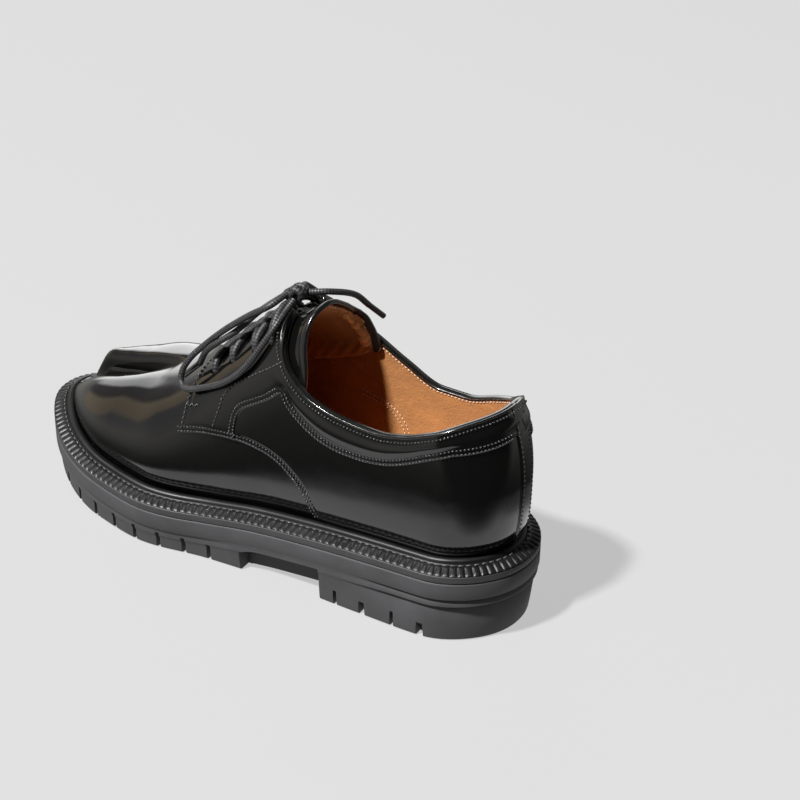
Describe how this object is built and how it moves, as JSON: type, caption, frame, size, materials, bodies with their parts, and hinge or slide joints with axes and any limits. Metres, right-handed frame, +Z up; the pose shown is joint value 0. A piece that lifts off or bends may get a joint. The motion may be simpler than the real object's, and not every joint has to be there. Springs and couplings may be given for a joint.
{
  "type": "lace-up derby shoe",
  "caption": "Low lace-up derby shoe with a split toe, leather upper, welted edge and lugged rubber sole with a block heel.",
  "frame": {"origin": "on the floor under the middle of the shoe's box, laces left out", "axes": "+Z up, +Y along the shoe towards the toe, +X towards the big-toe side"},
  "size_m": [0.103, 0.28, 0.1387],
  "materials": {
    "outsole_rubber": "matt moulded rubber",
    "midsole_rubber": "smooth matt rubber",
    "welt_rubber": "satin, ribbed edge",
    "insole_leather": "tan lining leather",
    "upper_leather": "high-shine smooth leather",
    "tongue_leather": "smooth leather",
    "lace_fabric": "round waxed weave",
    "lace_tip": "glossy film"
  },
  "bodies": {
    "root": {"outsole": "outsole_rubber", "midsole": "midsole_rubber", "welt": "welt_rubber", "insole": "insole_leather", "upper": "upper_leather", "band_lateral": "upper_leather", "band_medial": "upper_leather", "quarter_lateral": "upper_leather", "quarter_medial": "upper_leather", "backstay": "upper_leather", "toe_gusset": "upper_leather", "tongue": "tongue_leather", "lace_bars": "lace_fabric", "lace_knot": "lace_fabric", "lace_loop_lateral": "lace_fabric", "lace_loop_medial": "lace_fabric", "lace_end_lateral": "lace_fabric", "lace_end_medial": "lace_fabric", "lace_tip_lateral": "lace_tip", "lace_tip_medial": "lace_tip"}
  },
  "joints": []
}
